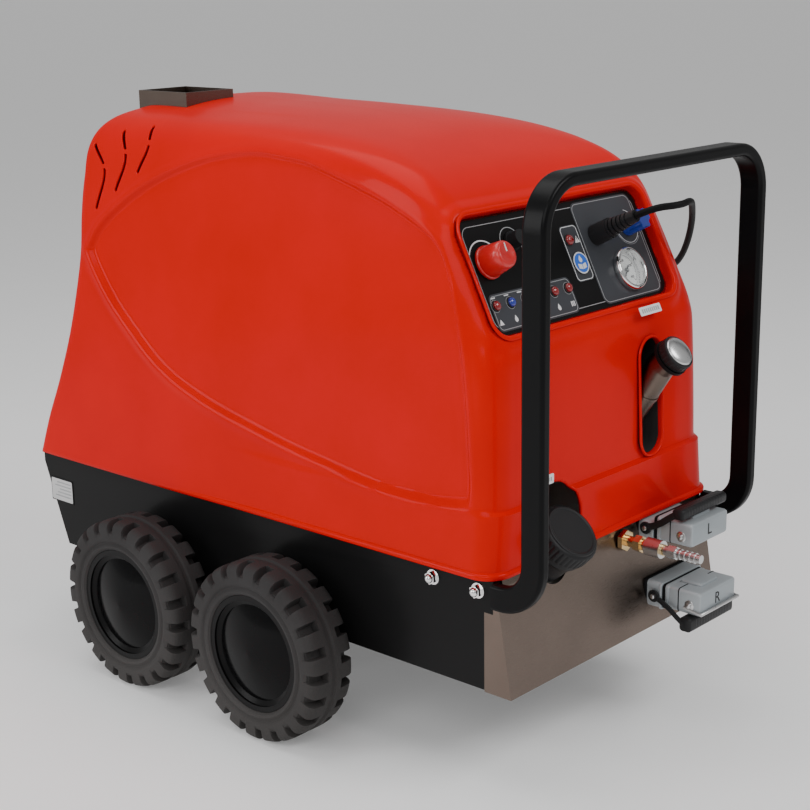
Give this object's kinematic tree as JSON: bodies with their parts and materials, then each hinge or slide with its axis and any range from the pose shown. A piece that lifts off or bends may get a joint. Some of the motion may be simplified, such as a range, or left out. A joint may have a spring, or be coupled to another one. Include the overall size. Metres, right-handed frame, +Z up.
{
  "type": "hot-water pressure washer",
  "caption": "Wheeled hot-water pressure washer: moulded hinged hood over a sheet-steel chassis, tube push handle, sloped control panel, fillers and front service connectors.",
  "frame": {"origin": "on the ground, under the middle of the machine's bounding box", "axes": "+X to the right seen from the control panel end, +Y towards the rear of the machine, +Z up"},
  "size_m": [0.8, 1.269, 1.011],
  "materials": {
    "black_paint": "satin",
    "stainless": "brushed",
    "chrome": "polished",
    "dark_steel": "satin",
    "die_cast": "satin",
    "brass": "satin",
    "bright_steel": "satin",
    "natural_plastic": "matte",
    "grey_paint": "satin",
    "cast_alloy": "cast",
    "red_moulding": "gloss",
    "black_plastic": "matte",
    "grey_film": "matte",
    "lamp_lens": "gloss",
    "clear_glass": "clear",
    "black_rubber": "matte",
    "red_knob_plastic": "satin",
    "blue_knob_plastic": "satin",
    "tread_rubber": "matte",
    "gloss_black": "gloss"
  },
  "bodies": {
    "chassis": {"axles": "dark_steel", "side_plate_left": "black_paint", "side_plate_right": "black_paint", "floor_pan": "black_paint", "front_panel": "stainless", "rear_plate": "black_paint", "handle_bar": "black_paint", "handle_bolts": "chrome", "hinge_fixed": "dark_steel", "connector_bases": "die_cast", "coupling_body": "brass", "coupling_plug": "bright_steel", "fuel_tank": "natural_plastic", "water_tank": "natural_plastic", "boiler_shell": "stainless", "heating_coil": "dark_steel", "burner_head": "grey_paint", "drive_motor": "grey_paint", "pressure_pump": "cast_alloy", "pressure_pipe": "bright_steel", "control_box": "grey_paint"},
    "hood": {"hood_shell": "red_moulding", "chimney_frame": "stainless", "panel_plate": "black_plastic", "panel_overlays": "grey_film", "panel_lamps": "lamp_lens", "switch_bodies": "black_plastic", "gauge_case": "chrome", "gauge_glass": "clear_glass", "control_plug": "black_plastic", "control_cable": "black_rubber", "cable_gland": "black_plastic", "fuel_neck": "stainless", "fuel_ring": "black_rubber", "hinge_moving": "dark_steel"},
    "wheel_front_left": {"tyre_front_left": "tread_rubber", "rim_front_left": "black_paint", "hub_cap_front_left": "gloss_black"},
    "wheel_front_right": {"tyre_front_right": "tread_rubber", "rim_front_right": "black_paint", "hub_cap_front_right": "gloss_black"},
    "wheel_rear_left": {"tyre_rear_left": "tread_rubber", "rim_rear_left": "black_paint", "hub_cap_rear_left": "gloss_black"},
    "wheel_rear_right": {"tyre_rear_right": "tread_rubber", "rim_rear_right": "black_paint", "hub_cap_rear_right": "gloss_black"},
    "red_knob": {"knob_red": "red_knob_plastic"},
    "black_knob": {"knob_black": "black_plastic"},
    "blue_knob": {"knob_blue": "blue_knob_plastic"},
    "needle": {"gauge_needle": "black_plastic"},
    "fuel_cap_body": {"fuel_cap": "chrome"},
    "water_cap_body": {"water_cap": "black_plastic"},
    "plug_left": {"connector_plug_left": "die_cast"},
    "plug_right": {"connector_plug_right": "die_cast"},
    "lever_left": {"connector_lever_left": "black_plastic"},
    "lever_right": {"connector_lever_right": "black_plastic"},
    "sleeve": {"coupling_sleeve": "bright_steel"},
    "drive_shaft": {"drive_coupling": "dark_steel"},
    "fan": {"burner_fan": "cast_alloy"}
  },
  "joints": [
    {"name": "wheel_front_left_spin", "type": "hinge", "parent": "chassis", "child": "wheel_front_left", "pos_m": [-0.353, -0.0685, 0.15], "axis": [1, 0, 0], "continuous": true},
    {"name": "wheel_front_right_spin", "type": "hinge", "parent": "chassis", "child": "wheel_front_right", "pos_m": [0.353, -0.0685, 0.15], "axis": [1, 0, 0], "continuous": true},
    {"name": "wheel_rear_left_spin", "type": "hinge", "parent": "chassis", "child": "wheel_rear_left", "pos_m": [-0.353, 0.2615, 0.15], "axis": [1, 0, 0], "continuous": true},
    {"name": "wheel_rear_right_spin", "type": "hinge", "parent": "chassis", "child": "wheel_rear_right", "pos_m": [0.353, 0.2615, 0.15], "axis": [1, 0, 0], "continuous": true},
    {"name": "hood_open", "type": "hinge", "parent": "chassis", "child": "hood", "pos_m": [0, 0.6255, 0.352], "axis": [-1, 0, 0], "range_deg": [0, 60]},
    {"name": "red_knob_turn", "type": "hinge", "parent": "hood", "child": "red_knob", "pos_m": [-0.198, -0.4112, 0.80037], "axis": [0, -0.8955, 0.445], "range_deg": [-180, 0]},
    {"name": "black_knob_turn", "type": "hinge", "parent": "hood", "child": "black_knob", "pos_m": [-0.128, -0.40052, 0.82186], "axis": [0, -0.8955, 0.445], "range_deg": [-270, 0]},
    {"name": "blue_knob_turn", "type": "hinge", "parent": "hood", "child": "blue_knob", "pos_m": [0.164, -0.40675, 0.80933], "axis": [0, -0.8955, 0.445], "range_deg": [-270, 0]},
    {"name": "needle_turn", "type": "hinge", "parent": "hood", "child": "needle", "pos_m": [0.126, -0.4379, 0.74664], "axis": [0, -0.8955, 0.445], "range_deg": [-270, 0]},
    {"name": "fuel_cap_turn", "type": "hinge", "parent": "hood", "child": "fuel_cap_body", "pos_m": [0.12, -0.52894, 0.62081], "axis": [0, -0.766, 0.6428], "range_deg": [0, 90]},
    {"name": "water_cap_turn", "type": "hinge", "parent": "chassis", "child": "water_cap_body", "pos_m": [-0.14, -0.5165, 0.39], "axis": [0, -0.7071, 0.7071], "range_deg": [0, 360]},
    {"name": "plug_left_pull", "type": "slide", "parent": "chassis", "child": "plug_left", "axis": [0, -1, 0], "range_m": [0, 0.05]},
    {"name": "plug_right_pull", "type": "slide", "parent": "chassis", "child": "plug_right", "axis": [0, -1, 0], "range_m": [0, 0.05]},
    {"name": "lever_left_open", "type": "hinge", "parent": "chassis", "child": "lever_left", "pos_m": [0.145, -0.502, 0.333], "axis": [-1, 0, 0], "range_deg": [0, 50]},
    {"name": "lever_right_open", "type": "hinge", "parent": "chassis", "child": "lever_right", "pos_m": [0.145, -0.52083, 0.22], "axis": [1, 0, 0], "range_deg": [0, 40]},
    {"name": "sleeve_slide", "type": "slide", "parent": "chassis", "child": "sleeve", "axis": [0, 1, 0], "range_m": [0, 0.006], "stiffness_N_per_m": 400},
    {"name": "drive_spin", "type": "hinge", "parent": "chassis", "child": "drive_shaft", "pos_m": [0, -0.0345, 0.262], "axis": [1, 0, 0], "continuous": true},
    {"name": "fan_spin", "type": "hinge", "parent": "chassis", "child": "fan", "pos_m": [0, 0.2605, 0.763], "axis": [1, 0, 0], "continuous": true}
  ]
}
